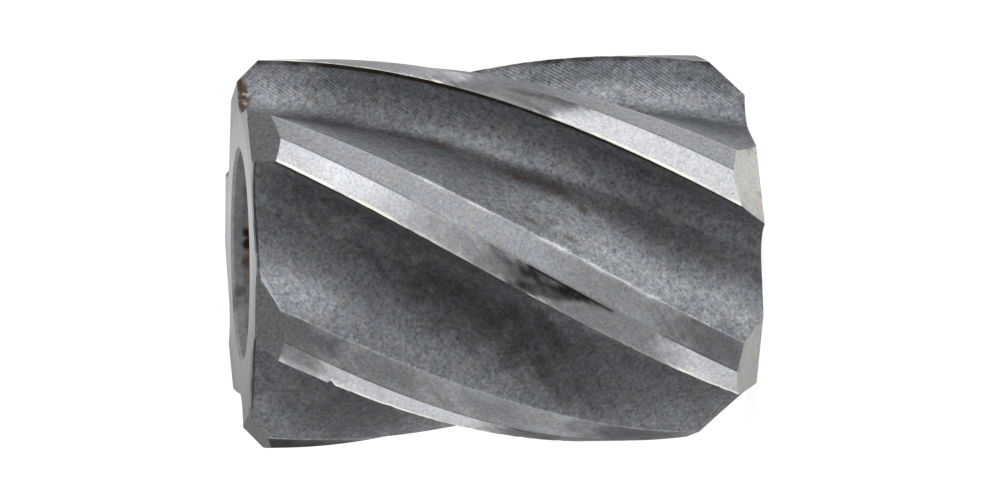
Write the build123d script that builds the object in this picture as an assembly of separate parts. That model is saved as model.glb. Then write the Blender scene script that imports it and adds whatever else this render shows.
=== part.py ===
from build123d import *
import math
import os

# A six-tooth helical shell reamer, cut from one bar of high speed steel.
# It stands on its cutting end, with the tool axis along +Z and the drive end up.
# Seen from the drive end, each land runs anticlockwise from its cutting edge to its heel.

# Driving dimensions in millimetres, angles in degrees

# Body
CUTTER_DIAMETER = 35.5
BODY_LENGTH = 46.0
BORE_DIAMETER = 19.0
BORE_MOUTH_CHAMFER = 0.3

# Teeth
TOOTH_COUNT = 6
HELIX_ANGLE = 29.5
FIRST_TOOTH_ANGLE = -23.0

# Land: a cylindrical margin, then a flat secondary relief down to the heel
MARGIN_WIDTH = 2.75
LAND_ANGLE = 19.0
HEEL_DROP = 0.65

# Flute
RAKE_ANGLE = 3.0
WEB_THICKNESS = 3.5
GULLET_RADIUS = 3.0

# End chamfers, measured along the axis at each tooth's cutting edge, at 45 degrees.
# The lead at the cutting end was ground by hand, to its own depth on each tooth.
LEAD_DEPTHS = (3.5, 3.6, 3.2, 3.0, 2.0, 2.5)
BACK_CHAMFER = 1.9
CHAMFER_ANGLE = 45.0

# The flute cutter's run past the outside of the blank
CUTTER_OVERRUN = 1.5

# Each flute's flat back and its gullet's arc are drawn in stretches of about equal
# length, because long thin surfaces keep a helical flute light when it is meshed.
BACK_STRETCHES = 3
GULLET_STRETCHES = 9

# Values that follow from the driving dimensions

OUTER_RADIUS = CUTTER_DIAMETER / 2
BORE_RADIUS = BORE_DIAMETER / 2
HEEL_RADIUS = OUTER_RADIUS - HEEL_DROP
GULLET_FLOOR = BORE_RADIUS + WEB_THICKNESS
PITCH = 360 / TOOTH_COUNT
MARGIN_ANGLE = math.degrees(MARGIN_WIDTH / OUTER_RADIUS)
TWIST_PER_MM = math.degrees(math.tan(math.radians(HELIX_ANGLE)) / OUTER_RADIUS)


def polar(radius, angle, height=0.0):
    """A point at a radius and an angle in degrees about the tool axis."""
    turn = math.radians(angle)
    return Vector(radius * math.cos(turn), radius * math.sin(turn), height)


def beyond(start, end, overrun):
    """The point past the end of a line by an overrun."""
    return end + (end - start).normalized() * overrun


def blank():
    """The turned blank, with the bore and a small chamfer at each of its mouths."""
    mouth = BORE_RADIUS + BORE_MOUTH_CHAMFER
    profile = Polyline(
        (mouth, 0),
        (OUTER_RADIUS, 0),
        (OUTER_RADIUS, BODY_LENGTH),
        (mouth, BODY_LENGTH),
        (BORE_RADIUS, BODY_LENGTH - BORE_MOUTH_CHAMFER),
        (BORE_RADIUS, BORE_MOUTH_CHAMFER),
        close=True,
    )
    return revolve(Plane.XZ * make_face(profile), Axis.Z)


def gullet_arc(heel):
    """The gullet's arc ahead of the cutting edge at angle 0, from flute back to rake face.

    The arc is tangent to the rake face, to the floor circle round the bore and to
    the straight flute back, which starts at the heel of the tooth in front.
    """
    edge = polar(OUTER_RADIUS, 0)
    rake = math.radians(RAKE_ANGLE)
    inward = Vector(-math.cos(rake), math.sin(rake))
    into_flute = Vector(-math.sin(rake), -math.cos(rake))
    start = edge + into_flute * GULLET_RADIUS
    centre_radius = GULLET_FLOOR + GULLET_RADIUS
    along = start.dot(inward)
    reach = -along - math.sqrt(along**2 - start.dot(start) + centre_radius**2)
    centre = start + inward * reach
    rake_end = edge + inward * reach

    to_centre = centre - heel
    turn = math.degrees(math.asin(GULLET_RADIUS / to_centre.length))
    back_length = math.sqrt(to_centre.length**2 - GULLET_RADIUS**2)
    back_end = heel + to_centre.normalized().rotate(Axis.Z, turn) * back_length

    floor = centre.normalized() * GULLET_FLOOR
    return ThreePointArc(back_end, floor, rake_end)


def in_stretches(curve, count):
    """A line or an arc redrawn as a row of shorter ones."""
    stretches = []
    for index in range(count):
        start = curve @ (index / count)
        middle = curve @ ((index + 0.5) / count)
        end = curve @ ((index + 1) / count)
        if curve.geom_type == GeomType.LINE:
            stretches.append(Line(start, end))
        else:
            stretches.append(ThreePointArc(start, middle, end))
    return stretches


def flute_section():
    """The stock cut away between a rake face at angle 0 and the tooth in front of it.

    From the end of that tooth's margin it runs along the flat secondary relief to the
    heel, down the flute back and round the gullet, and out along the rake face.
    """
    margin_end = polar(OUTER_RADIUS, MARGIN_ANGLE - PITCH)
    heel = polar(HEEL_RADIUS, LAND_ANGLE - PITCH)
    gullet = gullet_arc(heel)
    rake_outside = beyond(gullet @ 1, polar(OUTER_RADIUS, 0), CUTTER_OVERRUN)
    relief_outside = beyond(heel, margin_end, CUTTER_OVERRUN)
    middle_outside = polar(OUTER_RADIUS + 2 * CUTTER_OVERRUN, LAND_ANGLE - PITCH / 2)
    edges = [
        Line(relief_outside, heel),
        *in_stretches(Line(heel, gullet @ 0), BACK_STRETCHES),
        *in_stretches(gullet, GULLET_STRETCHES),
        Line(gullet @ 1, rake_outside),
        ThreePointArc(rake_outside, middle_outside, relief_outside),
    ]
    return make_face(edges).face()


def flute():
    """The flute's section carried up the axis while it turns at the helix's rate."""
    return Solid.extrude_linear_with_rotation(
        flute_section(),
        center=(0, 0, 0),
        normal=(0, 0, BODY_LENGTH),
        angle=TWIST_PER_MM * BODY_LENGTH,
    )


def chamfer_cut(tooth, depth, end_height, inward):
    """The stock ground off one tooth at one end, bounded by a flat relieved facet.

    The facet holds the cutting edge's corners on the outside and on the end face,
    and meets the heel at the same depth, so it falls away behind the cutting edge.
    """
    corner_height = end_height + inward * depth
    corner_angle = FIRST_TOOTH_ANGLE + tooth * PITCH + TWIST_PER_MM * corner_height
    face_angle = FIRST_TOOTH_ANGLE + tooth * PITCH + TWIST_PER_MM * end_height
    face_radius = OUTER_RADIUS - depth * math.tan(math.radians(CHAMFER_ANGLE))

    outside = polar(OUTER_RADIUS, corner_angle, corner_height)
    on_face = polar(face_radius, face_angle, end_height)
    heel = polar(HEEL_RADIUS, corner_angle + LAND_ANGLE, corner_height)

    outward = (heel - outside).cross(on_face - outside).normalized()
    if outward.Z * inward > 0:
        outward = -outward
    facet = Plane(origin=(outside + heel) * 0.5, x_dir=heel - outside, z_dir=outward)
    tooth_chord = 2 * OUTER_RADIUS * math.sin(math.radians(PITCH / 2))
    return facet * Box(tooth_chord, tooth_chord, OUTER_RADIUS, align=(Align.CENTER, Align.CENTER, Align.MIN))


def reamer_body():
    body = blank()
    one_flute = flute()
    for tooth in range(TOOTH_COUNT):
        body -= one_flute.rotate(Axis.Z, FIRST_TOOTH_ANGLE + tooth * PITCH)
    for tooth in range(TOOTH_COUNT):
        body -= chamfer_cut(tooth, LEAD_DEPTHS[tooth % len(LEAD_DEPTHS)], end_height=0.0, inward=1)
        body -= chamfer_cut(tooth, BACK_CHAMFER, end_height=BODY_LENGTH, inward=-1)
    return body


os.makedirs("parts", exist_ok=True)
export_step(reamer_body(), "parts/reamer_body.step")
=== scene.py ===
import math

import bmesh
import bpy
import numpy as np
from mathutils import Matrix, Vector


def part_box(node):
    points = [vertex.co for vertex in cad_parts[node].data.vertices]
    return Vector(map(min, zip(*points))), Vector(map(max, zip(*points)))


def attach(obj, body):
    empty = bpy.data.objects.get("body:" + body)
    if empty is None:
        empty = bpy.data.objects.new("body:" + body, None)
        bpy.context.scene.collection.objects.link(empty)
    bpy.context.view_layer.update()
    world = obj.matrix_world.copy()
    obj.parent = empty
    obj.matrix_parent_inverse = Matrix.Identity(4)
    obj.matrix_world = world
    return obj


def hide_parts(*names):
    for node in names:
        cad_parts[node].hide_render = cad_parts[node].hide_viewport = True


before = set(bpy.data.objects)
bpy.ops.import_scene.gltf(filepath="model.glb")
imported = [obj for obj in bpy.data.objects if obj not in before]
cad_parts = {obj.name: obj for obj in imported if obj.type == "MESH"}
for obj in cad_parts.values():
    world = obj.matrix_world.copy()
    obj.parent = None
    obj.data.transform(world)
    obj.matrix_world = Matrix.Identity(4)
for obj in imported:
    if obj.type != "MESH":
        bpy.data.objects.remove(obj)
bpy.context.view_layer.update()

# A used six-tooth shell reamer of high speed steel. It stands on its cutting end on a
# pale floor, and the camera lies on its side, so the tool axis runs level in the picture.

MM = 0.001

# The tool's form, as in the CAD, with angles in degrees. The skin's outer radius is 0.008 mm
# smaller than the solid's, so that the skin stays inside the solid's box.
BODY_LOW, BODY_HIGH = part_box("reamer_body")
BODY_LENGTH = BODY_HIGH.z - BODY_LOW.z
OUTER_RADIUS = 17.742 * MM
BORE_RADIUS = 9.5 * MM
BORE_MOUTH_CHAMFER = 0.3 * MM
TOOTH_COUNT = 6
PITCH = 360 / TOOTH_COUNT
HELIX_ANGLE = 29.5
FIRST_TOOTH_ANGLE = -23.0
LAND_ANGLE = 19.0
HEEL_DROP = 0.65 * MM
RAKE_ANGLE = 3.0
WEB_THICKNESS = 3.5 * MM
GULLET_RADIUS = 3.0 * MM
HEEL_RADIUS = OUTER_RADIUS - HEEL_DROP
GULLET_FLOOR = BORE_RADIUS + WEB_THICKNESS
TWIST = math.tan(math.radians(HELIX_ANGLE)) / OUTER_RADIUS

# The two ends, in the order of their heights, and the way into the tool from each
CUTTING_END, DRIVE_END = range(2)
INWARD = (1, -1)

# The teeth in their order round the tool. A, B and C face the camera, Z shows at the top
# and D at the bottom of the picture.
Z, FAR, D, C, B, A = range(TOOTH_COUNT)

# Each tooth's own grinding: the margin's width, and the lead's depth at the cutting end,
# measured along the cutting edge and as the drop across the end face
MARGIN_WIDTHS = [2.8 * MM, 2.8 * MM, 2.5 * MM, 2.15 * MM, 2.75 * MM, 3.1 * MM]
LEAD_DEPTHS = [3.2 * MM, 3.6 * MM, 3.2 * MM, 3.9 * MM, 2.0 * MM, 2.5 * MM]
LEAD_DROPS = [2.7 * MM, 3.6 * MM, 3.2 * MM, 3.3 * MM, 2.0 * MM, 2.5 * MM]
BACK_CHAMFER = 1.9 * MM

# Some lands run narrower towards the drive end: the heel's drift there, in degrees
HEEL_DRIFTS = {C: -3.2, D: -5.0, FAR: -5.0}
DRIFT_START = 20 * MM

# A tooth's outline has six stretches: half the gullet, the rake face, the margin, the relief,
# the flute back and half the next gullet. Each is drawn in fine steps, and laid with columns
# of faces that keep some room from the outline's corners. Two more columns stand beside the
# cutting edge to carry its chips.
OUTLINE_STEPS = (400, 200, 200, 200, 400, 200)
OUTLINE_COLUMNS = (12, 5, 11, 7, 22, 4)
EDGE_COLUMNS = (-0.18 * MM, 0.16 * MM)
COLUMN_ROOM = 0.13 * MM
ROWS = 210
BORE_ROWS = 16
RING_STEPS = 24
CHORD_STEPS = 6

# A column's end on a chamfer is searched for this far into the tool, by halving
CHAMFER_REACH = 8 * MM
HALVINGS = 40

# Worn edges are slightly round, and faces that meet at under this many degrees shade as smooth
EDGE_ROUND = 0.05 * MM
HEEL_ROUND = 0.06 * MM
SMOOTH_BELOW = 7.5

# The camera, fitted to the photograph, with angles in degrees
LENS_MM = 204.5
SENSOR_WIDTH_MM = 36
CLIP_START = 10 * MM
CAMERA_DISTANCE = 522 * MM
CAMERA_ELEVATION = 7.66
CAMERA_ROLL = 0.923
CAMERA_SHIFT = (1.108 * MM, 0.03 * MM)
AIM_HEIGHT = 23.135 * MM

# The studio: two soft lights in metres and watts, the brightness of the surroundings as a
# light, and a floor that is grey to light and glows to the eye
LIGHTS = {
    "key": {"direction": (0.87, -0.5, 0.25), "distance": 0.9, "width": 1.0, "power": 4.0},
    "fill": {"direction": (-0.95, 0.0, 0.4), "distance": 0.9, "width": 0.8, "power": 1.5},
}
SURROUNDINGS = 0.45
FLOOR_REACH = 6.0
FLOOR_LEVEL = -0.01 * MM
FLOOR_GREY = (0.6, 0.6, 0.6, 1)
FLOOR_GLOW = 0.8

# Zones of the skin, in the order of their materials
MARGIN, RELIEF, FLUTE, LEAD, CHAMFER, FACE, BORE = range(7)

# The steel's tint where light grazes it, the colours that lie on it, and the colours of its painted
# highlights and painted shadow
GRAZING_TINT = (0.55, 0.55, 0.55, 1)
RUST_BROWN = (0.11, 0.055, 0.03, 1)
DIRT_AND_SHADOW_BROWN = (0.030, 0.018, 0.009, 1)
OLIVE = (0.10, 0.085, 0.035, 1)
HIGHLIGHT_CREAM = (0.93, 0.87, 0.76, 1)
RIM_HIGHLIGHT_BLUE = (0.50, 0.56, 0.63, 1)

# Chips in the cutting edges: the tooth, the height, half the length along the edge and
# the depth, in mm. A negative depth is a burr.
CHIPS = [
    (C, 39.2, 0.32, 0.34),
    (C, 29.0, 0.40, -0.14),
    (A, 31.3, 0.22, 0.16),
    (A, 30.5, 0.25, 0.20),
    (A, 29.8, 0.20, 0.10),
    (B, 12.4, 0.30, 0.10),
    (D, 24.0, 0.35, 0.22),
    (FAR, 15.0, 0.30, 0.18),
    (Z, 8.0, 0.30, 0.12),
]

# Every cutting edge also has fine chips at random: the ranges of the same three measures
SMALL_CHIPS = 34
SMALL_CHIP_RANGES = [(2, 44), (0.2, 0.7), (0.01, 0.05)]
CHIP_SEED = 40

# A chip moves the skin away from the edge by its depth and inward by a share of it. It fades
# out with the distance from the edge and near the two ends of the tooth.
CHIP_INWARD_SHARE = 0.6
CHIP_REACH = 0.9 * MM
CHIP_FADE_POWER = 1.5
CHIP_END_FADE = 0.5 * MM

# Stains with painted shade, worn places with painted highlights and painted light, and rust,
# by zone. Each has the tooth, the run from its cutting edge and the height, half the widths along
# both, the lean of run with height, the strength and the share of it that is soft edge. All lengths
# are in mm.
# Real stains, and painted shade on stretches of the margins, reliefs and flutes
STAINS_AND_PAINTED_SHADE = {
    MARGIN: [
        (B, 1.4, 28.5, 5.0, 8.0, 0.0, 0.36, 0.9),
        (B, 1.4, 23.8, 5.0, 5.0, 0.0, 0.50, 0.9),
        (B, 1.4, 19.8, 0.85, 5.0, -0.42, 0.70, 0.35),
        (B, 2.35, 19.3, 0.85, 5.6, -0.08, 0.68, 0.35),
        (B, 1.4, 22.8, 1.9, 2.2, 0.0, 0.50, 0.9),
        (B, 1.4, 15.0, 6.0, 9.5, 0.0, 0.55, 0.6),
        (A, 1.6, 22.0, 3.5, 9.5, -0.40, 0.58, 0.5),
        (A, 0.7, 20.5, 0.5, 2.4, 0.25, 0.30, 0.8),
        (A, 2.5, 19.5, 0.6, 5.0, -0.10, 0.40, 0.7),
        (A, 1.6, 35.0, 5.0, 11.0, 0.0, 0.40, 0.8),
        (C, 1.1, 42.5, 4.0, 5.0, 0.0, 0.55, 0.8),
        (C, 1.1, 35.0, 5.0, 10.0, 0.0, 0.15, 0.9),
        (C, 1.1, 20.5, 4.0, 6.5, 0.0, 0.72, 0.9),
        (C, 1.1, 12.0, 4.0, 12.0, 0.0, 0.72, 0.6),
        (Z, 1.4, 5.5, 3.4, 9.0, 0.0, 0.55, 0.6),
        (D, 1.2, 42.5, 6.0, 12.0, 0.0, 0.97, 0.5),
        (B, 1.4, 43.5, 5.0, 5.5, 0.0, 0.14, 0.9),
        (B, 1.4, 2.0, 5.0, 5.5, 0.0, 0.14, 0.9),
        (Z, 1.4, 30.0, 3.2, 6.0, 0.0, 0.55, 0.6),
        (Z, 1.4, 14.0, 1.6, 4.0, 0.2, 0.60, 0.5),
        (FAR, 1.4, 36.0, 3.2, 5.0, 0.0, 0.60, 0.6),
        (FAR, 1.2, 17.0, 1.4, 6.0, -0.2, 0.75, 0.5),
        (D, 1.2, 27.0, 3.2, 7.0, 0.0, 0.55, 0.7),
        (D, 1.2, 10.0, 1.5, 4.0, -0.2, 0.70, 0.5),
    ],
    RELIEF: [
        (B, 4.4, 4.5, 5.0, 9.5, 0.0, 0.62, 0.9),
        (B, 4.4, 15.0, 5.0, 7.0, 0.0, 0.28, 0.9),
        (B, 4.4, 44.0, 4.0, 6.0, 0.0, 0.15, 0.9),
        (C, 4.2, 43.0, 5.0, 8.0, 0.0, 0.64, 0.8),
        (C, 4.2, 34.0, 5.0, 8.0, 0.0, 0.50, 0.9),
        (C, 4.2, 24.0, 4.0, 8.0, 0.0, 0.40, 0.9),
        (C, 4.2, 9.0, 4.5, 11.0, 0.0, 0.74, 0.8),
        (A, 4.4, 23.0, 4.5, 11.0, 0.0, 0.32, 0.9),
        (D, 4.2, 43.0, 6.0, 12.0, 0.0, 0.92, 0.5),
        (Z, 4.2, 30.0, 4.0, 9.0, 0.0, 0.35, 0.9),
        (FAR, 4.2, 18.0, 4.0, 9.0, 0.0, 0.50, 0.9),
        (D, 4.2, 30.0, 4.0, 9.0, 0.0, 0.45, 0.9),
    ],
    FLUTE: [
        (C, 12.5, 27.0, 6.0, 15.0, 0.0, 0.55, 0.9),
        (B, -3.5, 27.0, 5.5, 22.0, 0.0, 0.50, 0.7),
        (B, -3.5, 43.0, 5.0, 7.0, 0.0, 0.30, 0.8),
        (C, -3.5, 27.0, 5.0, 26.0, 0.0, 0.50, 0.7),
        (A, -5.2, 34.0, 3.0, 14.0, 0.0, 0.15, 0.8),
        (B, 13.4, 20.0, 1.5, 6.0, 0.0, 0.45, 0.8),
        (B, 14.4, 30.0, 1.3, 7.0, 0.0, 0.35, 0.9),
        (C, 10.5, 12.0, 6.0, 18.0, 0.0, 0.28, 0.9),
        (A, -3.0, 8.0, 4.5, 12.0, 0.0, 0.30, 0.8),
        (A, 8.5, 14.0, 3.0, 8.0, 0.0, 0.35, 0.9),
        (C, 11.5, 20.0, 4.0, 8.0, 0.0, 0.35, 0.9),
        (D, 10.0, 36.0, 7.0, 12.0, 0.0, 0.40, 0.9),
        (B, 12.5, 9.0, 5.0, 8.0, 0.0, 0.35, 0.9),
        (C, 8.5, 17.0, 3.5, 9.0, 0.0, 0.45, 0.9),
        (D, 9.0, 36.0, 6.0, 12.0, 0.0, 0.35, 0.9),
        (B, 14.0, 39.0, 4.0, 5.0, 0.0, 0.35, 0.9),
        (FAR, 11.0, 24.0, 6.0, 14.0, 0.0, 0.45, 0.9),
    ],
}
# Worn places, painted highlights along heels, lands and cutting edges, and painted light on broad
# stretches of the flutes
WEAR_AND_PAINTED_LIGHT = {
    MARGIN: [
        (A, 0.3, 23.2, 0.5, 1.4, 0.0, 0.5, 0.9),
        (C, 0.3, 42.0, 0.6, 5.0, 0.0, 1.0, 0.6),
    ],
    RELIEF: [
        (B, 2.95, 29.0, 0.28, 7.0, 0.0, 0.8, 0.6),
        (B, 5.9, 30.5, 0.35, 1.8, 0.0, 0.9, 0.9),
        (B, 5.9, 26.0, 0.40, 2.2, 0.0, 0.9, 0.9),
        (B, 5.9, 19.4, 0.40, 2.6, 0.0, 1.0, 0.9),
        (B, 5.9, 15.4, 0.40, 2.2, 0.0, 1.0, 0.9),
        (B, 5.9, 11.4, 0.40, 2.6, 0.0, 0.9, 0.9),
        (C, 5.9, 43.8, 0.40, 1.4, 0.0, 0.9, 0.9),
        (FAR, 5.9, 20.0, 0.40, 3.0, 0.0, 0.9, 0.9),
        (D, 5.9, 33.0, 0.40, 2.4, 0.0, 0.9, 0.9),
    ],
    FLUTE: [
        (B, 6.1, 30.5, 0.35, 1.6, 0.0, 0.7, 0.9),
        (B, 6.0, 18.9, 0.60, 2.0, 0.0, 0.9, 0.8),
        (B, 6.0, 16.2, 0.55, 1.6, 0.0, 0.9, 0.8),
        (B, 6.0, 13.4, 0.45, 1.4, 0.0, 0.9, 0.8),
        (B, 6.0, 10.5, 0.50, 1.6, 0.0, 0.9, 0.7),
        (B, 8.5, 12.0, 5.0, 15.0, 0.0, 0.70, 0.9),
        (B, 11.2, 18.0, 2.2, 8.0, 0.0, 0.45, 0.9),
        (C, 8.2, 42.0, 3.4, 7.0, 0.0, 0.35, 0.9),
        (C, 7.4, 45.0, 0.45, 1.2, 1.6, 1.0, 0.5),
        (B, 9.0, 1.5, 4.0, 6.0, 0.0, 0.48, 0.9),
        (A, -3.0, 43.5, 4.2, 8.0, 0.0, 0.62, 0.9),
        (A, -5.3, 24.0, 1.8, 11.0, 0.0, 0.42, 0.8),
        (Z, -2.8, 7.0, 4.6, 13.0, 0.0, 0.72, 0.8),
        (Z, -1.0, 21.0, 1.8, 9.0, 0.0, 0.45, 0.8),
        (C, 8.0, 43.0, 3.0, 5.0, 0.0, 0.35, 0.9),
    ],
}
RUST = {
    MARGIN: [
        (B, 2.5, 25.0, 0.25, 0.35, 0.0, 0.7, 0.8),
        (B, 2.4, 10.6, 0.22, 0.90, 0.0, 0.6, 0.9),
        (A, 1.2, 12.0, 0.20, 0.25, 0.0, 0.5, 0.9),
        (D, 1.4, 35.0, 0.60, 1.2, 0.0, 0.6, 0.9),
    ],
    RELIEF: [
        (B, 3.0, 24.5, 0.25, 0.45, 0.0, 0.8, 0.9),
        (B, 3.6, 7.7, 0.22, 0.25, 0.0, 0.8, 0.9),
        (FAR, 4.0, 27.0, 0.80, 1.6, 0.0, 0.6, 0.9),
    ],
    FLUTE: [
        (A, -3.5, 45.6, 2.3, 0.95, 0.0, 1.0, 0.6),
        (A, -2.8, 45.9, 1.6, 0.60, 0.0, 1.0, 0.4),
        (A, -3.3, 23.8, 0.26, 0.30, 0.0, 0.9, 0.9),
        (A, -3.9, 23.2, 0.22, 0.26, 0.0, 0.8, 0.9),
        (A, -1.5, 24.7, 0.22, 0.30, 0.0, 0.7, 0.9),
        (B, 12.9, 21.9, 0.70, 0.8, 0.0, 1.0, 0.7),
        (B, 13.0, 18.6, 1.20, 2.4, 0.0, 0.45, 0.9),
        (B, 12.0, 16.2, 0.80, 0.9, 0.0, 0.8, 0.9),
        (B, 14.6, 28.6, 0.80, 1.4, 0.0, 0.6, 0.9),
        (B, -5.3, 39.6, 0.60, 0.8, 0.0, 0.5, 0.9),
        (C, 13.8, 37.5, 0.60, 0.7, 0.0, 0.5, 0.9),
        (B, 7.5, 21.2, 0.65, 1.8, 0.0, 0.6, 0.9),
        (B, 7.7, 17.8, 0.65, 1.5, 0.0, 0.6, 0.9),
        (B, 8.8, 19.4, 0.60, 1.0, 0.0, 0.5, 0.9),
        (C, 9.5, 22.0, 0.30, 0.30, 0.0, 0.6, 0.9),
        (C, 10.5, 7.5, 0.30, 0.30, 0.0, 0.6, 0.9),
        (Z, 9.0, 24.0, 1.2, 2.0, 0.0, 0.5, 0.9),
        (D, 13.0, 12.0, 1.6, 2.6, 0.0, 0.6, 0.9),
    ],
}

# A mark's rim is ragged: the size of its waves in mm, and their swing against the mark's width
RAGGED_RIM = [(1.1, 0.10), (0.4, 0.07)]

# The feed lines on the rake faces: their pitch in mm, and how far their run goes with the height
FEED_PITCH = 0.34
FEED_LEAN = 0.66

# Spots on the bore's wall by the drive end: the place and the radius in mm, the strength
# and the colour
BORE_SPOTS = [
    ((-0.7, 9.4, 44.4), 1.1, 0.7, RUST_BROWN),
    ((-3.4, 8.8, 45.2), 0.9, 0.6, OLIVE),
    ((2.0, 9.25, 44.5), 0.8, 1.0, DIRT_AND_SHADOW_BROWN),
    ((1.0, 9.4, 44.3), 0.9, 1.0, DIRT_AND_SHADOW_BROWN),
]


def polar(radius, degrees):
    turn = math.radians(degrees)
    return np.array([radius * math.cos(turn), radius * math.sin(turn)])


def rotated(points, radians):
    cos, sin = np.cos(radians), np.sin(radians)
    x, y = points[..., 0], points[..., 1]
    return np.stack([x * cos - y * sin, x * sin + y * cos], axis=-1)


def straight(start, end, steps):
    share = np.linspace(0, 1, steps + 1)[:, None]
    return start + (end - start) * share


def arc(centre, start, end, steps):
    first = math.atan2(*(start - centre)[::-1])
    last = math.atan2(*(end - centre)[::-1])
    sweep = (last - first + math.pi) % (2 * math.pi) - math.pi
    turns = first + sweep * np.linspace(0, 1, steps + 1)
    radius = np.linalg.norm(start - centre)
    return centre + radius * np.stack([np.cos(turns), np.sin(turns)], axis=-1)


def gullet(heel):
    """The gullet ahead of the cutting edge at angle 0, behind the heel given.

    Returns its arc's centre, the end of the flute back, the floor and the end of the rake face.
    """
    edge = polar(OUTER_RADIUS, 0)
    rake = math.radians(RAKE_ANGLE)
    inward = np.array([-math.cos(rake), math.sin(rake)])
    start = edge + np.array([-math.sin(rake), -math.cos(rake)]) * GULLET_RADIUS
    along = start @ inward
    reach = -along - math.sqrt(along**2 - start @ start + (GULLET_FLOOR + GULLET_RADIUS) ** 2)
    centre = start + inward * reach
    to_centre = centre - heel
    length = np.linalg.norm(to_centre)
    turn = math.asin(GULLET_RADIUS / length)
    back_end = heel + rotated(to_centre / length, turn) * math.sqrt(length**2 - GULLET_RADIUS**2)
    floor = centre / np.linalg.norm(centre) * GULLET_FLOOR
    return centre, back_end, floor, edge + inward * reach


class Tooth:
    """One tooth's share of the skin, from the gullet floor ahead of it to the one behind it."""

    def __init__(self, index):
        self.index = index
        self.turn = math.radians(FIRST_TOOTH_ANGLE + index * PITCH)
        self.chamfers = [(LEAD_DEPTHS[index], LEAD_DROPS[index]), (BACK_CHAMFER, BACK_CHAMFER)]
        pitch = math.radians(PITCH)
        tip = polar(OUTER_RADIUS, 0)
        margin_end = polar(OUTER_RADIUS, math.degrees(MARGIN_WIDTHS[index] / OUTER_RADIUS))
        heel = polar(HEEL_RADIUS, LAND_ANGLE)
        centre, back_end, floor, rake_end = gullet(rotated(heel, -pitch))
        next_centre, next_back, next_floor = (rotated(p, pitch) for p in (centre, back_end, floor))
        stretches = [
            (arc, centre, floor, rake_end),
            (straight, rake_end, tip),
            (arc, np.zeros(2), tip, margin_end),
            (straight, margin_end, heel),
            (straight, heel, next_back),
            (arc, next_centre, next_back, next_floor),
        ]
        lines = [draw(*places, steps) for (draw, *places), steps in zip(stretches, OUTLINE_STEPS)]
        self.points = np.concatenate([line[:-1] for line in lines] + [[next_floor]])
        lengths = np.linalg.norm(np.diff(self.points, axis=0), axis=1)
        run = np.concatenate([[0], np.cumsum(lengths)])
        corners = run[np.cumsum([0, *OUTLINE_STEPS])]
        tip_run = corners[2]
        self.run = run - tip_run
        self.corners = corners - tip_run
        self.tip, self.margin_end, self.heel, self.back_end = self.corners[2:6]
        self.crossings = [self.face_crossings(end) for end in (CUTTING_END, DRIVE_END)]
        self.columns = self.spaced_columns()
        self.chips = self.cutting_edge_chips()

    def at(self, run, height):
        """Points of the skin at a run along the outline from the cutting edge, and a height."""
        x = np.interp(run, self.run, self.points[:, 0])
        y = np.interp(run, self.run, self.points[:, 1])
        turn = self.turn + TWIST * height + self.drift(run, height)
        flat = rotated(np.stack([x, y], axis=-1), turn)
        return np.concatenate([flat, (height + np.zeros(len(flat)))[:, None]], axis=-1)

    def drift(self, run, height):
        """How far the heel's side of the land is turned from its place on a true helix."""
        most = math.radians(HEEL_DRIFTS.get(self.index, 0.0))
        share = np.interp(run, [self.margin_end, self.heel, self.back_end], [0, 1, 0])
        return most * share * np.clip((height - DRIFT_START) / (BODY_LENGTH - DRIFT_START), 0, 1)

    def cutting_edge_chips(self):
        """The tooth's own chips and the fine ones that every worn edge has."""
        random = np.random.default_rng(CHIP_SEED + self.index)
        chips = [(height, half, depth) for tooth, height, half, depth in CHIPS if tooth == self.index]
        for _ in range(SMALL_CHIPS):
            chips.append([random.uniform(*limits) for limits in SMALL_CHIP_RANGES])
        return chips

    def chipped(self, run, heights, points, low, high):
        """The points of one column, moved where the cutting edge is chipped."""
        reach = max(0.0, 1 - abs(run) / CHIP_REACH)
        if reach == 0:
            return points
        depth = np.zeros(len(heights))
        for height, half, most in self.chips:
            depth += most * MM * np.clip(1 - abs(heights / MM - height) / half, 0, 1)
        inside = np.clip(np.minimum(heights - low, high - heights) / CHIP_END_FADE, 0, 1)
        depth *= inside * reach**CHIP_FADE_POWER
        radial = points[:, :2] / np.linalg.norm(points[:, :2], axis=1)[:, None]
        onward = rotated(radial, math.pi / 2)
        moved = points.copy()
        moved[:, :2] += onward * depth[:, None] - radial * abs(depth)[:, None] * CHIP_INWARD_SHARE
        return moved

    def facet(self, end):
        """A point on the chamfer's plane at one end of the tooth, and its outward normal."""
        depth, drop = self.chamfers[end]
        height = BODY_LENGTH * end
        corner = height + INWARD[end] * depth
        turn = math.degrees(self.turn)
        outside = Vector((*polar(OUTER_RADIUS, turn + math.degrees(TWIST * corner)), corner))
        on_face = Vector((*polar(OUTER_RADIUS - drop, turn + math.degrees(TWIST * height)), height))
        heel = Vector((*polar(HEEL_RADIUS, turn + LAND_ANGLE + math.degrees(TWIST * corner)), corner))
        normal = (heel - outside).cross(on_face - outside).normalized()
        if normal.z * INWARD[end] > 0:
            normal = -normal
        return np.array(outside), np.array(normal)

    def clear_of(self, run, height, end):
        """How far points of the skin lie outside the chamfer's plane at one end."""
        origin, normal = self.facet(end)
        return (self.at(run, height) - origin) @ normal

    def face_crossings(self, end):
        """The runs between which the chamfer at one end takes the place of the end face."""
        outside = self.clear_of(self.run, BODY_LENGTH * end, end) > 0
        middle = np.searchsorted(self.run, (self.tip + self.heel) / 2)
        first = middle - np.argmin(outside[middle::-1])
        last = middle + np.argmin(outside[middle:])
        return self.run[first], self.run[last]

    def spaced_columns(self):
        """The columns' runs: every corner and crossing, and even steps that keep clear of them."""
        kept = sorted({*self.corners, *self.crossings[CUTTING_END], *self.crossings[DRIVE_END]})
        steps = list(EDGE_COLUMNS)
        for start, end, count in zip(self.corners[:-1], self.corners[1:], OUTLINE_COLUMNS):
            steps += list(np.linspace(start, end, count + 1)[:-1])
        spaced = [step for step in steps if min(abs(step - place) for place in kept) > COLUMN_ROOM]
        return np.array(sorted(kept + spaced))

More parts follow.
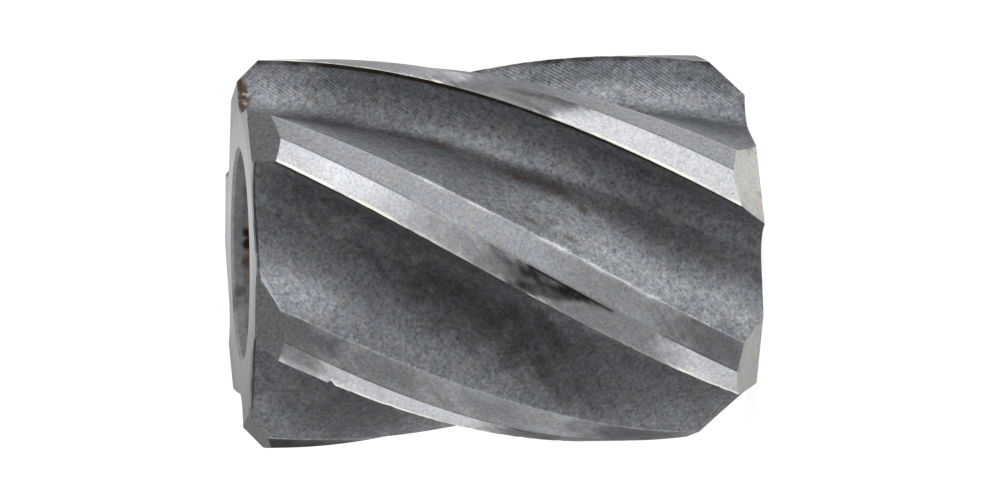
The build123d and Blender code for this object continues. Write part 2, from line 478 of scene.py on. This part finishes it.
    def ends(self):
        """Each column's lowest and highest point, where a chamfer or an end face stops it."""
        limits = []
        for end in (CUTTING_END, DRIVE_END):
            height = BODY_LENGTH * end
            first, last = self.crossings[end]
            cut = (self.columns > first) & (self.columns < last)
            near = np.full(len(self.columns), height)
            far = near + INWARD[end] * CHAMFER_REACH
            for _ in range(HALVINGS):
                middle = (near + far) / 2
                outside = self.clear_of(self.columns, middle, end) > 0
                near = np.where(outside, middle, near)
                far = np.where(outside, far, middle)
            limits.append(np.where(cut, (near + far) / 2, height))
        return limits

    def zone(self, run):
        if run < self.tip or run > self.heel:
            return FLUTE
        return MARGIN if run < self.margin_end else RELIEF


class Skin:
    """Collects the vertices, faces, zones, flow coordinates and teeth of the reamer's skin."""

    def __init__(self):
        self.vertices, self.faces, self.zones, self.flow, self.teeth = [], [], [], [], []

    def add(self, points):
        """Adds vertices and returns their numbers."""
        first = len(self.vertices)
        self.vertices += [tuple(point) for point in points]
        return list(range(first, len(self.vertices)))

    def face(self, corners, zone, flow, tooth=0):
        self.faces.append(corners)
        self.zones.append(zone)
        self.flow.append(flow)
        self.teeth.append(tooth)

    def flat_face(self, corners, zone, tooth):
        """A flat face across the axis, which takes its flow coordinates from its place."""
        flow = [(x / MM, y / MM) for x, y, _ in (self.vertices[corner] for corner in corners)]
        self.face(corners, zone, flow, tooth)


def lay_columns(skin, teeth):
    """The helical skin of all teeth.

    Returns the vertices of every column, and the numbers of each tooth's columns.
    """
    grid, spans = [], []
    share = np.linspace(0, 1, ROWS + 1)
    for tooth in teeth:
        low, high = tooth.ends()
        first = len(grid)
        for run, start, stop in list(zip(tooth.columns, low, high))[:-1]:
            heights = start + (stop - start) * share
            points = tooth.at(np.full(ROWS + 1, run), heights)
            grid.append(skin.add(tooth.chipped(run, heights, points, start, stop)))
        spans.append(list(range(first, len(grid))))
    for number, span in enumerate(spans):
        span.append(spans[(number + 1) % len(spans)][0])
    for tooth, span in zip(teeth, spans):
        low, high = tooth.ends()
        for place in range(len(span) - 1):
            left, right = grid[span[place]], grid[span[place + 1]]
            runs = tooth.columns[place] / MM, tooth.columns[place + 1] / MM
            zone = tooth.zone((tooth.columns[place] + tooth.columns[place + 1]) / 2)
            up = [(low[side] + (high[side] - low[side]) * share) / MM for side in (place, place + 1)]
            for row in range(ROWS):
                flow = [
                    (runs[0], up[0][row]),
                    (runs[1], up[1][row]),
                    (runs[1], up[1][row + 1]),
                    (runs[0], up[0][row + 1]),
                ]
                corners = [left[row], right[row], right[row + 1], left[row + 1]]
                skin.face(corners, zone, flow, tooth.index)
    return grid, spans


def close_end(skin, teeth, grid, spans, end):
    """One end's chamfer facets and end face. Returns the ring of vertices at the bore's mouth."""
    height = BODY_LENGTH * end
    row = ROWS * end
    mouth = BORE_RADIUS + BORE_MOUTH_CHAMFER
    start_angle = math.atan2(*teeth[0].points[0][::-1]) + teeth[0].turn + TWIST * height
    ring_count = TOOTH_COUNT * RING_STEPS
    turns = start_angle + np.arange(ring_count) * 2 * math.pi / ring_count
    ring = skin.add([(mouth * math.cos(turn), mouth * math.sin(turn), height) for turn in turns])
    for number, (tooth, span) in enumerate(zip(teeth, spans)):
        first, last = (int(np.argmin(abs(tooth.columns - run))) for run in tooth.crossings[end])
        outline = [grid[column][row] for column in span]
        begin, finish = (np.array(skin.vertices[outline[place]]) for place in (first, last))
        steps = np.linspace(0, 1, CHORD_STEPS + 1)[1:-1, None]
        chord = skin.add(begin + (finish - begin) * steps)
        facet = outline[first : last + 1] + chord[::-1]
        skin.flat_face(facet, LEAD if end == CUTTING_END else CHAMFER, tooth.index)
        inner = [ring[(number * RING_STEPS + step) % ring_count] for step in range(RING_STEPS + 1)]
        face = outline[: first + 1] + chord + outline[last:] + inner[::-1]
        skin.flat_face(face, FACE, tooth.index)
    return ring


def ring_angle(skin, ring):
    """The angle of a ring's first vertex about the tool axis."""
    x, y, _ = skin.vertices[ring[0]]
    return math.atan2(y, x)


def line_bore(skin, bottom, top):
    """The bore's wall and its mouth chamfers, between the rings at the two ends."""
    count = len(bottom)
    step = 2 * math.pi / count
    bottom_angle, top_angle = ring_angle(skin, bottom), ring_angle(skin, top)
    shift = round((bottom_angle - top_angle) / step)
    top = [top[(place + shift) % count] for place in range(count)]
    skew = top_angle + shift * step - bottom_angle
    levels = np.linspace(BORE_MOUTH_CHAMFER, BODY_LENGTH - BORE_MOUTH_CHAMFER, BORE_ROWS + 1)
    rings = [bottom]
    for level in levels:
        turns = bottom_angle + skew * level / BODY_LENGTH + np.arange(count) * step
        wall = [(BORE_RADIUS * math.cos(turn), BORE_RADIUS * math.sin(turn), level) for turn in turns]
        rings.append(skin.add(wall))
    rings.append(top)
    width = step * BORE_RADIUS / MM
    for low, high in zip(rings[:-1], rings[1:]):
        for place in range(count):
            after = (place + 1) % count
            corners = [low[place], low[after], high[after], high[place]]
            runs = [place * width, (place + 1) * width, (place + 1) * width, place * width]
            flow = [(run, skin.vertices[corner][2] / MM) for run, corner in zip(runs, corners)]
            skin.face(corners, BORE, flow)


def build_skin():
    """The reamer's whole skin as one closed mesh, with its edges slightly rounded."""
    teeth = [Tooth(index) for index in range(TOOTH_COUNT)]
    skin = Skin()
    grid, spans = lay_columns(skin, teeth)
    bottom = close_end(skin, teeth, grid, spans, CUTTING_END)
    top = close_end(skin, teeth, grid, spans, DRIVE_END)
    line_bore(skin, bottom, top)
    mesh = bpy.data.meshes.new("reamer_skin")
    mesh.from_pydata(skin.vertices, [], skin.faces)
    flow = mesh.uv_layers.new(name="flow")
    flow.data.foreach_set("uv", np.array([uv for face in skin.flow for uv in face], np.float32).ravel())
    mesh.polygons.foreach_set("material_index", np.array(skin.zones, np.int32))
    numbers = mesh.attributes.new("tooth", "INT", "FACE")
    numbers.data.foreach_set("value", np.array(skin.teeth, np.int32))
    finish_edges(mesh)
    mark_skin(mesh, teeth)
    return mesh


def round_edges(bm, edges, offset):
    bmesh.ops.bevel(
        bm, geom=edges, offset=offset, segments=1, affect="EDGES", clamp_overlap=True, material=-1
    )


def finish_edges(mesh):
    """Points the faces outward, rounds the worn edges and marks which edges are shaded smooth."""
    bm = bmesh.new()
    bm.from_mesh(mesh)
    bmesh.ops.recalc_face_normals(bm, faces=bm.faces)
    worn, heels = [], []
    for edge in bm.edges:
        zones = {face.material_index for face in edge.link_faces}
        if zones == {RELIEF, FLUTE}:
            heels.append(edge)
        elif len(zones) > 1 and zones != {MARGIN, RELIEF}:
            worn.append(edge)
    round_edges(bm, worn, EDGE_ROUND)
    round_edges(bm, [edge for edge in heels if edge.is_valid], HEEL_ROUND)
    for edge in bm.edges:
        edge.smooth = edge.calc_face_angle(0.0) < math.radians(SMOOTH_BELOW)
    for face in bm.faces:
        face.smooth = True
    bm.to_mesh(mesh)
    bm.free()


def uneven(across, along, size):
    """A smooth irregular value between -1 and 1 that changes over about the size given.

    Its waves bend one another and their lengths are unequal, so that no pattern shows.
    """
    u, v = across / size, along / size
    return (np.sin(1.7 * u + 2.3 * np.sin(0.9 * v)) + np.sin(2.1 * v + 1.9 * np.sin(1.3 * u + 0.7))) / 2


def strength_of(marks, across, along, pitch_run):
    """How strongly a list of marks lies on places of the skin, from 0 to 1."""
    bare = np.ones(len(across))
    girth = TOOTH_COUNT * pitch_run
    ragged = sum(swing * uneven(across, along, size) for size, swing in RAGGED_RIM)
    for tooth, run, height, half_run, half_height, lean, most, soft in marks:
        away = along - height
        aside = (across - tooth * pitch_run - run - lean * away + girth / 2) % girth - girth / 2
        distance = np.hypot(aside / half_run, away / half_height) + ragged
        inner = np.clip((1 - distance) / soft, 0, 1)
        bare *= 1 - most * inner * inner * (3 - 2 * inner)
    return 1 - bare


def mark_skin(mesh, teeth):
    """Stores at each corner its stains and painted shade, its wear and painted light, its rust, and how
    far past the land's lines it lies.
    """
    flow = np.empty(len(mesh.loops) * 2, np.float32)
    mesh.uv_layers["flow"].uv.foreach_get("vector", flow)
    run, along = flow.reshape(-1, 2).astype(float).T
    sides, zones, numbers = (np.empty(len(mesh.polygons), np.int32) for _ in range(3))
    mesh.polygons.foreach_get("loop_total", sides)
    mesh.polygons.foreach_get("material_index", zones)
    mesh.attributes["tooth"].data.foreach_get("value", numbers)
    zone, tooth = np.repeat(zones, sides), np.repeat(numbers, sides)
    pitch_run = (teeth[0].corners[-1] - teeth[0].corners[0]) / MM
    across = tooth * pitch_run + run
    levels = np.zeros((len(run), 4), np.float32)
    for channel, table in enumerate((STAINS_AND_PAINTED_SHADE, WEAR_AND_PAINTED_LIGHT, RUST)):
        for number, marks in table.items():
            here = zone == number
            levels[here, channel] = strength_of(marks, across[here], along[here], pitch_run)
    mesh.attributes.new("marks_and_painted_light", "FLOAT_COLOR", "CORNER").data.foreach_set("color", levels.ravel())
    margin_ends = np.array([each.margin_end for each in teeth]) / MM
    heels = np.array([each.heel for each in teeth]) / MM
    past = np.stack([run - margin_ends[tooth], run - heels[tooth]], axis=-1).astype(np.float32)
    mesh.uv_layers.new(name="land").uv.foreach_set("vector", past.ravel())


class Finish:
    """One zone's procedural material, built node by node. Its places and sizes are in mm."""

    def __init__(self, name, metallic):
        self.material = bpy.data.materials.new(name)
        self.material.use_nodes = True
        self.tree = self.material.node_tree
        self.shader = self.tree.nodes["Principled BSDF"]
        self.shader.inputs["Metallic"].default_value = metallic
        self.shader.inputs["Specular Tint"].default_value = GRAZING_TINT
        place = self.node("ShaderNodeTexCoord").outputs["Object"]
        self.place = self.vector("SCALE", place, scale=1 / MM)
        flow = self.node("ShaderNodeUVMap", uv_map="flow").outputs["UV"]
        self.run, self.height = self.parts(flow)[:2]
        land = self.node("ShaderNodeUVMap", uv_map="land").outputs["UV"]
        self.past_margin, self.past_heel = self.parts(land)[:2]
        # The marks' channels: stains with painted shade, worn places with painted highlights and
        # painted light, and rust
        marks_and_painted_light = self.node("ShaderNodeAttribute", attribute_name="marks_and_painted_light").outputs["Vector"]
        self.stain, self.worn, self.rust = self.parts(marks_and_painted_light)

    def node(self, kind, *values, **settings):
        """Adds a node with the settings given, and fills its sockets with the values in turn."""
        node = self.tree.nodes.new(kind)
        for name, setting in settings.items():
            setattr(node, name, setting)
        for socket, value in zip(node.inputs, values):
            self.fill(socket, value)
        return node

    def fill(self, socket, value):
        """Links a socket to another one, or sets its value."""
        if isinstance(value, bpy.types.NodeSocket):
            self.tree.links.new(value, socket)
        else:
            socket.default_value = value

    def parts(self, value):
        return self.node("ShaderNodeSeparateXYZ", value).outputs

    def vector(self, operation, *values, scale=None):
        node = self.node("ShaderNodeVectorMath", *values, operation=operation)
        if scale is not None:
            self.fill(node.inputs["Scale"], scale)
        return node.outputs["Value" if operation in ("DISTANCE", "LENGTH") else "Vector"]

    def math(self, operation, *values, clamp=False):
        return self.node("ShaderNodeMath", *values, operation=operation, use_clamp=clamp).outputs[0]

    def times(self, *values):
        product = values[0]
        for value in values[1:]:
            product = self.math("MULTIPLY", product, value)
        return product

    def more(self, share, amount):
        """A factor that grows from 1 by the amount as the share goes from 0 to 1."""
        return self.math("MULTIPLY_ADD", share, amount, 1.0)

    def less(self, share, amount=1.0):
        """A factor that falls from 1 by the amount as the share goes from 0 to 1, but not under 0."""
        return self.math("MULTIPLY_ADD", share, -amount, 1.0, clamp=True)

    def ramp(self, value, start, end, low=0.0, high=1.0):
        """A smooth change from low to high as the value goes from start to end."""
        limits = (start, end, low, high)
        node = self.node("ShaderNodeMapRange", value, *limits, interpolation_type="SMOOTHSTEP")
        return node.outputs["Result"]

    def fade(self, value, start, end):
        """A smooth fall from 1 to 0 as the value goes from start to end."""
        return self.ramp(value, start, end, 1.0, 0.0)

    def profile(self, value, points):
        """Straight lines through (value, level) points, with levels from 0 to 2."""
        first, last = points[0][0], points[-1][0]
        share = self.node("ShaderNodeMapRange", value, first, last, 0.0, 1.0)
        node = self.node("ShaderNodeValToRGB", share.outputs["Result"])
        stops = node.color_ramp.elements
        while len(stops) < len(points):
            stops.new(1.0)
        for stop, (at, level) in zip(stops, points):
            stop.position = (at - first) / (last - first)
            stop.color = (level / 2, level / 2, level / 2, 1)
        return self.times(self.parts(node.outputs["Color"])[0], 2.0)

    def noise(self, size, seed, detail=2.0, rough=0.55):
        """Cloudy noise between 0 and 1, with lumps of about the size given."""
        node = self.node("ShaderNodeTexNoise", self.place, noise_dimensions="4D")
        numbers = {"W": seed, "Scale": 0.5 / size, "Detail": detail, "Roughness": rough}
        for name, number in numbers.items():
            node.inputs[name].default_value = number
        return node.outputs["Fac"]

    def grain(self, size, seed, amount, detail=2.0):
        """A factor about 1 that varies by the amount given."""
        return self.math("MULTIPLY_ADD", self.noise(size, seed, detail), 2 * amount, 1 - amount)

    def patches(self, size, seed, start, end, low=0.0, high=1.0, detail=2.0):
        """Patches with soft rims: low where the noise is under start, and high where it is over end."""
        return self.ramp(self.noise(size, seed, detail), start, end, low, high)

    def spot(self, centre, radius):
        """1 at a place and 0 beyond the radius, with a ragged rim."""
        distance = self.vector("DISTANCE", self.place, centre)
        ragged = self.math("MULTIPLY_ADD", self.noise(0.5, 7.7), 0.9 * radius, distance)
        return self.fade(ragged, 0.75 * radius, 1.35 * radius)

    def mix(self, share, first, second):
        return self.node("ShaderNodeMixRGB", share, first, second).outputs["Color"]

    def colour(self, tone, cool, warm, seed):
        """A grey of the tone given, which drifts between a cool and a warm tint."""
        tint = self.mix(self.patches(0.5, seed, 0.36, 0.64), (*cool, 1), (*warm, 1))
        return self.vector("SCALE", tint, scale=tone)

    def close(self, colour, rough, bump, depth):
        """Links the colour, the roughness and a bump of the depth given, and returns the material."""
        self.fill(self.shader.inputs["Base Color"], colour)
        self.fill(self.shader.inputs["Roughness"], rough)
        node = self.node("ShaderNodeBump")
        node.inputs["Distance"].default_value = depth * MM
        self.fill(node.inputs["Height"], bump)
        self.fill(self.shader.inputs["Normal"], node.outputs["Normal"])
        return self.material


def margin_finish():
    """Ground and worn bright, with stained and painted-shade stretches, fine pits and a painted
    highlight on the cutting edge.
    """
    look = Finish("ground_margin", metallic=1.0)
    stain = look.math("MULTIPLY", look.stain, look.grain(0.4, 1.3, 0.14), clamp=True)
    pits = look.patches(0.16, 5.1, 0.70, 0.76, 1.0, 0.45, detail=1.0)
    tone = look.times(0.57, look.grain(0.9, 2.2, 0.12), look.grain(0.35, 2.9, 0.14))
    tone = look.times(tone, look.grain(0.12, 3.4, 0.42, detail=1.0), pits)
    # Stains with painted shade darken the margin, and wear with painted highlights brightens it
    tone = look.times(tone, look.less(stain), look.more(look.worn, 0.5))
    end_line = look.times(look.ramp(look.past_margin, -0.32, -0.14), look.ramp(look.stain, 0.52, 0.8))
    tone = look.times(tone, look.less(end_line, 0.7))
    colour = look.colour(tone, cool=(0.97, 1.0, 1.07), warm=(1.0, 1.0, 1.02), seed=4.0)
    # A painted highlight along the cutting edge, in cream, weaker where stained
    edge = look.times(look.fade(look.run, 0.20, 0.40), look.ramp(stain, 0.1, 0.5, 0.9, 0.1))
    colour = look.mix(look.times(edge, look.patches(1.1, 6.0, 0.35, 0.62, 0.1, 1.0)), colour, HIGHLIGHT_CREAM)
    colour = look.mix(look.times(look.rust, look.patches(0.3, 8.0, 0.35, 0.6)), colour, RUST_BROWN)
    look.fill(look.shader.inputs["Metallic"], look.less(stain, 0.6))
    rough = look.math("MULTIPLY_ADD", stain, 0.22, look.times(0.32, look.grain(0.6, 9.0, 0.25)))
    bump = look.math("ADD", look.times(look.noise(0.22, 3.4), 0.5), pits)
    return look.close(colour, rough, bump, depth=0.010)


def relief_finish():
    """The ground secondary relief: satin grey, dark beside the margin, with a painted highlight along
    the heel.
    """
    look = Finish("ground_relief", metallic=0.9)
    stain = look.times(look.stain, look.grain(0.5, 1.9, 0.12))
    by_margin = look.ramp(look.past_margin, 0.08, 0.38, 0.75, 1.0)
    # A painted highlight along the heel
    by_heel = look.ramp(look.past_heel, -0.2, -0.06, 1.0, 1.35)
    tone = look.times(0.35, look.grain(0.4, 2.7, 0.12), look.grain(0.13, 3.9, 0.50, detail=1.0))
    # Stains with painted shade darken the relief, and wear with painted highlights brightens it
    tone = look.times(tone, look.less(stain), by_margin, by_heel, look.more(look.worn, 1.1))
    colour = look.colour(tone, cool=(0.95, 1.0, 1.09), warm=(1.0, 1.0, 1.01), seed=4.6)
    colour = look.mix(look.times(look.rust, look.patches(0.3, 8.8, 0.35, 0.6)), colour, RUST_BROWN)
    rough = look.times(0.42, look.grain(0.5, 9.6, 0.25))
    return look.close(colour, rough, look.noise(0.26, 3.9, detail=3.0), depth=0.020)


def under_edge_dirt_and_shadow(look, from_edge, past_corner):
    """The share of dirt and painted shadow under the cutting edge: a crisp line of dirt and painted
    shadow, with a soft painted shadow beside it.
    """
    soft = look.times(look.fade(from_edge, 0.35, 1.0), look.patches(0.8, 15.0, 0.35, 0.6, 0.15, 0.5))
    crisp = look.times(look.fade(from_edge, 0.38, 0.55), look.patches(0.6, 15.5, 0.3, 0.5, 0.8, 1.0))
    dirt_and_shadow = look.times(look.math("MAXIMUM", soft, crisp), look.fade(look.run, 0.0, 0.5))
    return look.times(dirt_and_shadow, look.ramp(past_corner, 0.0, 0.3, 1.0, 0.25), look.less(look.worn, 1.8))


def chamfer_rim_highlight(look, from_edge, past_corner):
    """The share of painted highlight on the rake face's rim, along the chamfer of the drive end."""
    rim = look.times(look.fade(from_edge, 0.05, 0.16), look.ramp(look.run, -2.2, -0.3, 0.8, 0.0))
    return look.times(rim, look.ramp(past_corner, 0.02, 0.1), look.fade(look.run, 0.0, 0.1))


def flute_finish():
    """The milled flute: dull oxide grey with feed lines on the rake, mottled gullet, dirt, and painted
    shade, shadow and highlights.

    Along the run, the gullet's floor lies at -6.2, the rake face from -1.9 to 0, and the
    flute back from the heel at 5.9 to 14.2.
    """
    look = Finish("milled_flute", metallic=0.35)
    feed = look.math("MULTIPLY_ADD", look.height, -FEED_LEAN, look.run)
    lines = look.math("SINE", look.times(feed, 2 * math.pi / FEED_PITCH))
    on_rake = look.times(look.ramp(look.run, -5.2, -3.6), look.fade(look.run, 0.0, 0.5))
    lined = look.times(lines, look.times(on_rake, look.patches(1.6, 6.3, 0.36, 0.60, 0.3, 1.0)))
    past_floor = look.ramp(look.run, -6.4, -5.2, 0.35, 1.0)
    in_gullet = look.times(past_floor, look.ramp(look.run, -2.6, -1.4, 1.0, 0.35))
    mottle = look.math("SUBTRACT", look.noise(0.45, 11.0, detail=3.0, rough=0.65), 0.5)
    mottled = look.times(mottle, in_gullet)
    specks = look.patches(0.2, 12.5, 0.64, 0.74, 1.0, 0.62, detail=1.0)
    # The tone along the run paints shade and light: darker on the gullet's floor and the rake, lightest
    # on the back beside the heel
    front_levels = [(-6.2, 0.60), (-4.4, 0.66), (-2.5, 0.72), (-0.3, 0.66)]
    back_levels = [(5.8, 1.35), (8.5, 1.28), (11.0, 0.98), (12.8, 0.72), (14.8, 0.72)]
    tone = look.times(0.225, look.profile(look.run, front_levels + back_levels))
    tone = look.times(tone, look.more(lined, 0.17), look.more(mottled, 1.1), specks)
    tone = look.times(tone, look.grain(0.14, 13.0, 0.85, detail=1.0), look.grain(0.35, 19.0, 0.30))
    tone = look.times(tone, look.grain(2.5, 14.0, 0.05))
    stain = look.times(look.stain, look.grain(0.4, 1.1, 0.15))
    # A painted highlight just past the heel; stains with painted shade darken the flute, and wear with
    # painted light brightens it
    by_heel = look.ramp(look.past_heel, 0.03, 0.16, 1.45, 1.0)
    tone = look.times(tone, look.less(stain), by_heel, look.more(look.worn, 1.3))
    colour = look.colour(tone, cool=(0.935, 1.0, 1.11), warm=(0.985, 1.0, 1.03), seed=4.3)

    # Past the back corner, the rake face's edge is the chamfer's and slants down the face
    back_corner = (BODY_LENGTH - BACK_CHAMFER) / MM
    past_corner = look.math("MAXIMUM", look.math("SUBTRACT", look.height, back_corner), 0.0)
    from_edge = look.math("SUBTRACT", look.math("MULTIPLY", look.run, -1.0), past_corner)
    to_face = look.math("SUBTRACT", BODY_LENGTH / MM, look.height)
    face_dirt = look.times(look.fade(to_face, 0.35, 0.5), look.patches(1.2, 20.0, 0.3, 0.6, 0.35, 0.85))
    # Dirt and painted shadow under the cutting edge, and the dirt line by the drive end's face
    dirt_and_shadow = look.math("MAXIMUM", under_edge_dirt_and_shadow(look, from_edge, past_corner), face_dirt)
    colour = look.mix(dirt_and_shadow, colour, DIRT_AND_SHADOW_BROWN)
    # A painted highlight in cream along the drive end's chamfer
    colour = look.mix(chamfer_rim_highlight(look, from_edge, past_corner), colour, HIGHLIGHT_CREAM)
    # A painted highlight in blue white along the rim by the drive end's face
    face_rim_highlight = look.times(look.fade(to_face, 0.16, 0.24), look.patches(1.3, 26.0, 0.35, 0.6, 0.35, 0.9))
    colour = look.mix(face_rim_highlight, colour, RIM_HIGHLIGHT_BLUE)
    flecks = look.times(look.patches(0.4, 16.0, 0.68, 0.78), 0.6)
    rust = look.times(look.rust, look.patches(0.3, 17.0, 0.3, 0.5))
    colour = look.mix(look.math("MAXIMUM", rust, flecks), colour, RUST_BROWN)
    rough = look.times(0.55, look.grain(0.5, 18.0, 0.25))
    bump = look.math("ADD", look.noise(0.3, 13.0, detail=3.0), look.times(mottled, 1.5))
    bump = look.math("ADD", bump, look.times(lined, 0.25))
    return look.close(colour, rough, bump, depth=0.035)


def facet_finish(name, metallic, rough, tone, grain, painted_light_lift, cool, warm):
    """A flat chamfer facet with painted light, which grows lighter by the lift towards the top of the
    picture.
    """
    look = Finish(name, metallic)
    picture_up = look.parts(look.place)[0]
    level = look.times(tone, look.grain(1.0, 2.0, 0.12), look.grain(0.12, 3.0, grain, detail=1.0))
    # Painted light: lighter towards the top of the picture
    level = look.times(level, look.ramp(picture_up, -4.0, 7.0, 1.0, painted_light_lift))
    level = look.times(level, look.patches(0.8, 21.0, 0.60, 0.72, 1.0, 0.7))
    flecks = look.times(look.patches(0.45, 27.0, 0.64, 0.76), 0.55)
    colour = look.mix(flecks, look.colour(level, cool, warm, seed=5.0), RUST_BROWN)
    rough = look.times(rough, look.grain(0.6, 9.0, 0.25))
    return look.close(colour, rough, look.noise(0.25, 3.0, detail=3.0), depth=0.012)


def face_finish():
    """The ground end faces, with painted light and shade across the picture's height and brown stain
    round the near side of the bore's mouth.
    """
    look = Finish("end_face", metallic=0.45)
    picture_up, away = look.parts(look.place)[:2]
    radius = look.vector("LENGTH", look.vector("MULTIPLY", look.place, (1.0, 1.0, 0.0)))
    # Painted light and shade: the face is darkest towards the bottom of the picture and lightest a
    # little above the middle
    low_levels = [(-16.0, 0.62), (-9.0, 0.85), (-1.0, 1.40)]
    high_levels = [(4.5, 1.75), (8.5, 1.50), (13.0, 1.15), (17.0, 0.95)]
    tone = look.times(0.50, look.grain(1.8, 2.0, 0.12), look.grain(0.15, 3.0, 0.25, detail=1.0))
    tone = look.times(tone, look.ramp(radius, 12.4, 13.6, 1.0, 0.85))
    tone = look.times(tone, look.profile(picture_up, low_levels + high_levels))
    colour = look.colour(tone, cool=(0.96, 1.0, 1.06), warm=(1.02, 1.0, 0.97), seed=5.0)
    mouth = look.times(look.fade(radius, 9.75, 10.1), look.patches(1.4, 22.0, 0.35, 0.55))
    mouth = look.times(mouth, look.ramp(away, -6.0, -2.0, 0.8, 0.1))
    flecks = look.times(look.patches(0.35, 23.0, 0.69, 0.78), 0.6)
    for share in (mouth, flecks):
        colour = look.mix(share, colour, RUST_BROWN)
    rough = look.times(0.45, look.grain(0.6, 9.0, 0.25))
    return look.close(colour, rough, look.noise(0.3, 3.0, detail=3.0), depth=0.012)


def bore_finish():
    """The bore: dull blue grey, with a rusty ring inside the drive end's mouth, patches and spots."""
    look = Finish("bore_wall", metallic=0.3)
    tone = look.times(0.37, look.grain(1.2, 2.0, 0.2), look.grain(0.2, 3.0, 0.5))
    colour = look.colour(tone, cool=(0.93, 1.0, 1.08), warm=(1.04, 1.0, 0.93), seed=5.0)
    inside = look.math("SUBTRACT", BODY_LENGTH / MM, look.height)
    ring = look.times(look.ramp(inside, 0.9, 1.25), look.fade(inside, 1.6, 2.4))
    ring = look.times(ring, look.patches(1.5, 24.0, 0.3, 0.55), 0.4)
    patches = look.times(look.patches(2.0, 25.0, 0.60, 0.70), 0.6)
    colour = look.mix(look.math("MAXIMUM", ring, patches), colour, RUST_BROWN)
    for place, radius, strength, spot_colour in BORE_SPOTS:
        colour = look.mix(look.times(look.spot(place, radius), strength), colour, spot_colour)
    rough = look.times(0.55, look.grain(0.6, 9.0, 0.2))
    return look.close(colour, rough, look.noise(0.35, 3.0, detail=3.0), depth=0.020)


def add_object(name, data):
    thing = bpy.data.objects.new(name, data)
    bpy.context.scene.collection.objects.link(thing)
    return thing


def add_reamer():
    """The reamer, with a finish for each zone of its skin, in the order of the zones."""
    mesh = build_skin()
    finishes = [
        margin_finish(),
        relief_finish(),
        flute_finish(),
        facet_finish(
            "lead_facet", metallic=0.8, rough=0.38, tone=0.47, grain=0.32, painted_light_lift=1.33,
            cool=(0.98, 1.0, 1.0), warm=(1.06, 1.0, 0.91)
        ),
        facet_finish(
            "back_facet", metallic=0.5, rough=0.5, tone=0.17, grain=0.70, painted_light_lift=1.0,
            cool=(0.96, 1.0, 1.05), warm=(1.0, 1.0, 1.0)
        ),
        face_finish(),
        bore_finish(),
    ]
    for finish in finishes:
        mesh.materials.append(finish)
    return add_object("reamer", mesh)


def add_camera():
    """The camera that fits the photograph: on its side, with the tool's drive end to its left."""
    data = bpy.data.cameras.new("camera")
    data.lens = LENS_MM
    data.sensor_width = SENSOR_WIDTH_MM
    data.clip_start = CLIP_START
    camera = add_object("camera", data)
    up, roll = math.radians(CAMERA_ELEVATION), math.radians(CAMERA_ROLL)
    back = Vector((0, -math.cos(up), math.sin(up)))
    right = Vector((-math.sin(roll), -math.sin(up) * math.cos(roll), -math.cos(up) * math.cos(roll)))
    above = back.cross(right)
    place = Vector((0, 0, AIM_HEIGHT)) + back * CAMERA_DISTANCE
    place += right * CAMERA_SHIFT[0] + above * CAMERA_SHIFT[1]
    camera.matrix_world = Matrix.Translation(place) @ Matrix((right, above, back)).transposed().to_4x4()
    bpy.context.scene.camera = camera


def add_light(name, direction, distance, width, power):
    """A square lamp that faces the middle of the tool."""
    data = bpy.data.lights.new(name, "AREA")
    data.shape = "SQUARE"
    data.size = width
    data.energy = power
    light = add_object(name, data)
    away = Vector(direction).normalized()
    light.location = Vector((0, 0, BODY_LENGTH / 2)) + away * distance
    light.rotation_euler = away.to_track_quat("Z", "Y").to_euler()


def is_ray(tree, *kinds):
    """A socket that is 1 for rays of the kinds named and 0 for all others."""
    path = tree.nodes.new("ShaderNodeLightPath")
    share = path.outputs[kinds[0]]
    for kind in kinds[1:]:
        either = tree.nodes.new("ShaderNodeMath")
        either.operation = "MAXIMUM"
        tree.links.new(share, either.inputs[0])
        tree.links.new(path.outputs[kind], either.inputs[1])
        share = either.outputs[0]
    return share


def add_floor():
    """A grey floor that takes the tool's shadow, and glows white to the eye and in reflections."""
    mesh = bpy.data.meshes.new("floor")
    sides = [(-1, -1), (1, -1), (1, 1), (-1, 1)]
    corners = [(x * FLOOR_REACH, y * FLOOR_REACH, FLOOR_LEVEL) for x, y in sides]
    mesh.from_pydata(corners, [], [(0, 1, 2, 3)])
    material = bpy.data.materials.new("floor")
    material.use_nodes = True
    tree = material.node_tree
    tree.nodes.clear()
    diffuse = tree.nodes.new("ShaderNodeBsdfDiffuse")
    diffuse.inputs["Color"].default_value = FLOOR_GREY
    strength = tree.nodes.new("ShaderNodeMath")
    strength.operation = "MULTIPLY"
    strength.inputs[1].default_value = FLOOR_GLOW
    tree.links.new(is_ray(tree, "Is Camera Ray", "Is Glossy Ray"), strength.inputs[0])
    glow = tree.nodes.new("ShaderNodeEmission")
    tree.links.new(strength.outputs[0], glow.inputs["Strength"])
    both = tree.nodes.new("ShaderNodeAddShader")
    tree.links.new(diffuse.outputs[0], both.inputs[0])
    tree.links.new(glow.outputs[0], both.inputs[1])
    out = tree.nodes.new("ShaderNodeOutputMaterial")
    tree.links.new(both.outputs[0], out.inputs["Surface"])
    mesh.materials.append(material)
    floor = add_object("floor", mesh)


def add_world():
    """Surroundings that are white to the eye and in reflections, and dimmer as a light."""
    world = bpy.data.worlds.new("studio")
    bpy.context.scene.world = world
    world.use_nodes = True
    tree = world.node_tree
    tree.nodes.clear()
    level = tree.nodes.new("ShaderNodeMapRange")
    level.inputs["To Min"].default_value = SURROUNDINGS
    level.inputs["To Max"].default_value = 1.0
    seen = is_ray(tree, "Is Camera Ray", "Is Glossy Ray", "Is Transmission Ray")
    tree.links.new(seen, level.inputs["Value"])
    background = tree.nodes.new("ShaderNodeBackground")
    tree.links.new(level.outputs[0], background.inputs["Strength"])
    out = tree.nodes.new("ShaderNodeOutputWorld")
    tree.links.new(background.outputs[0], out.inputs["Surface"])


reamer = add_reamer()
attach(reamer, "root")
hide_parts("reamer_body")

add_floor()
add_world()
add_camera()
for light_name, settings in LIGHTS.items():
    add_light(light_name, **settings)
bpy.context.scene.view_settings.view_transform = "Standard"
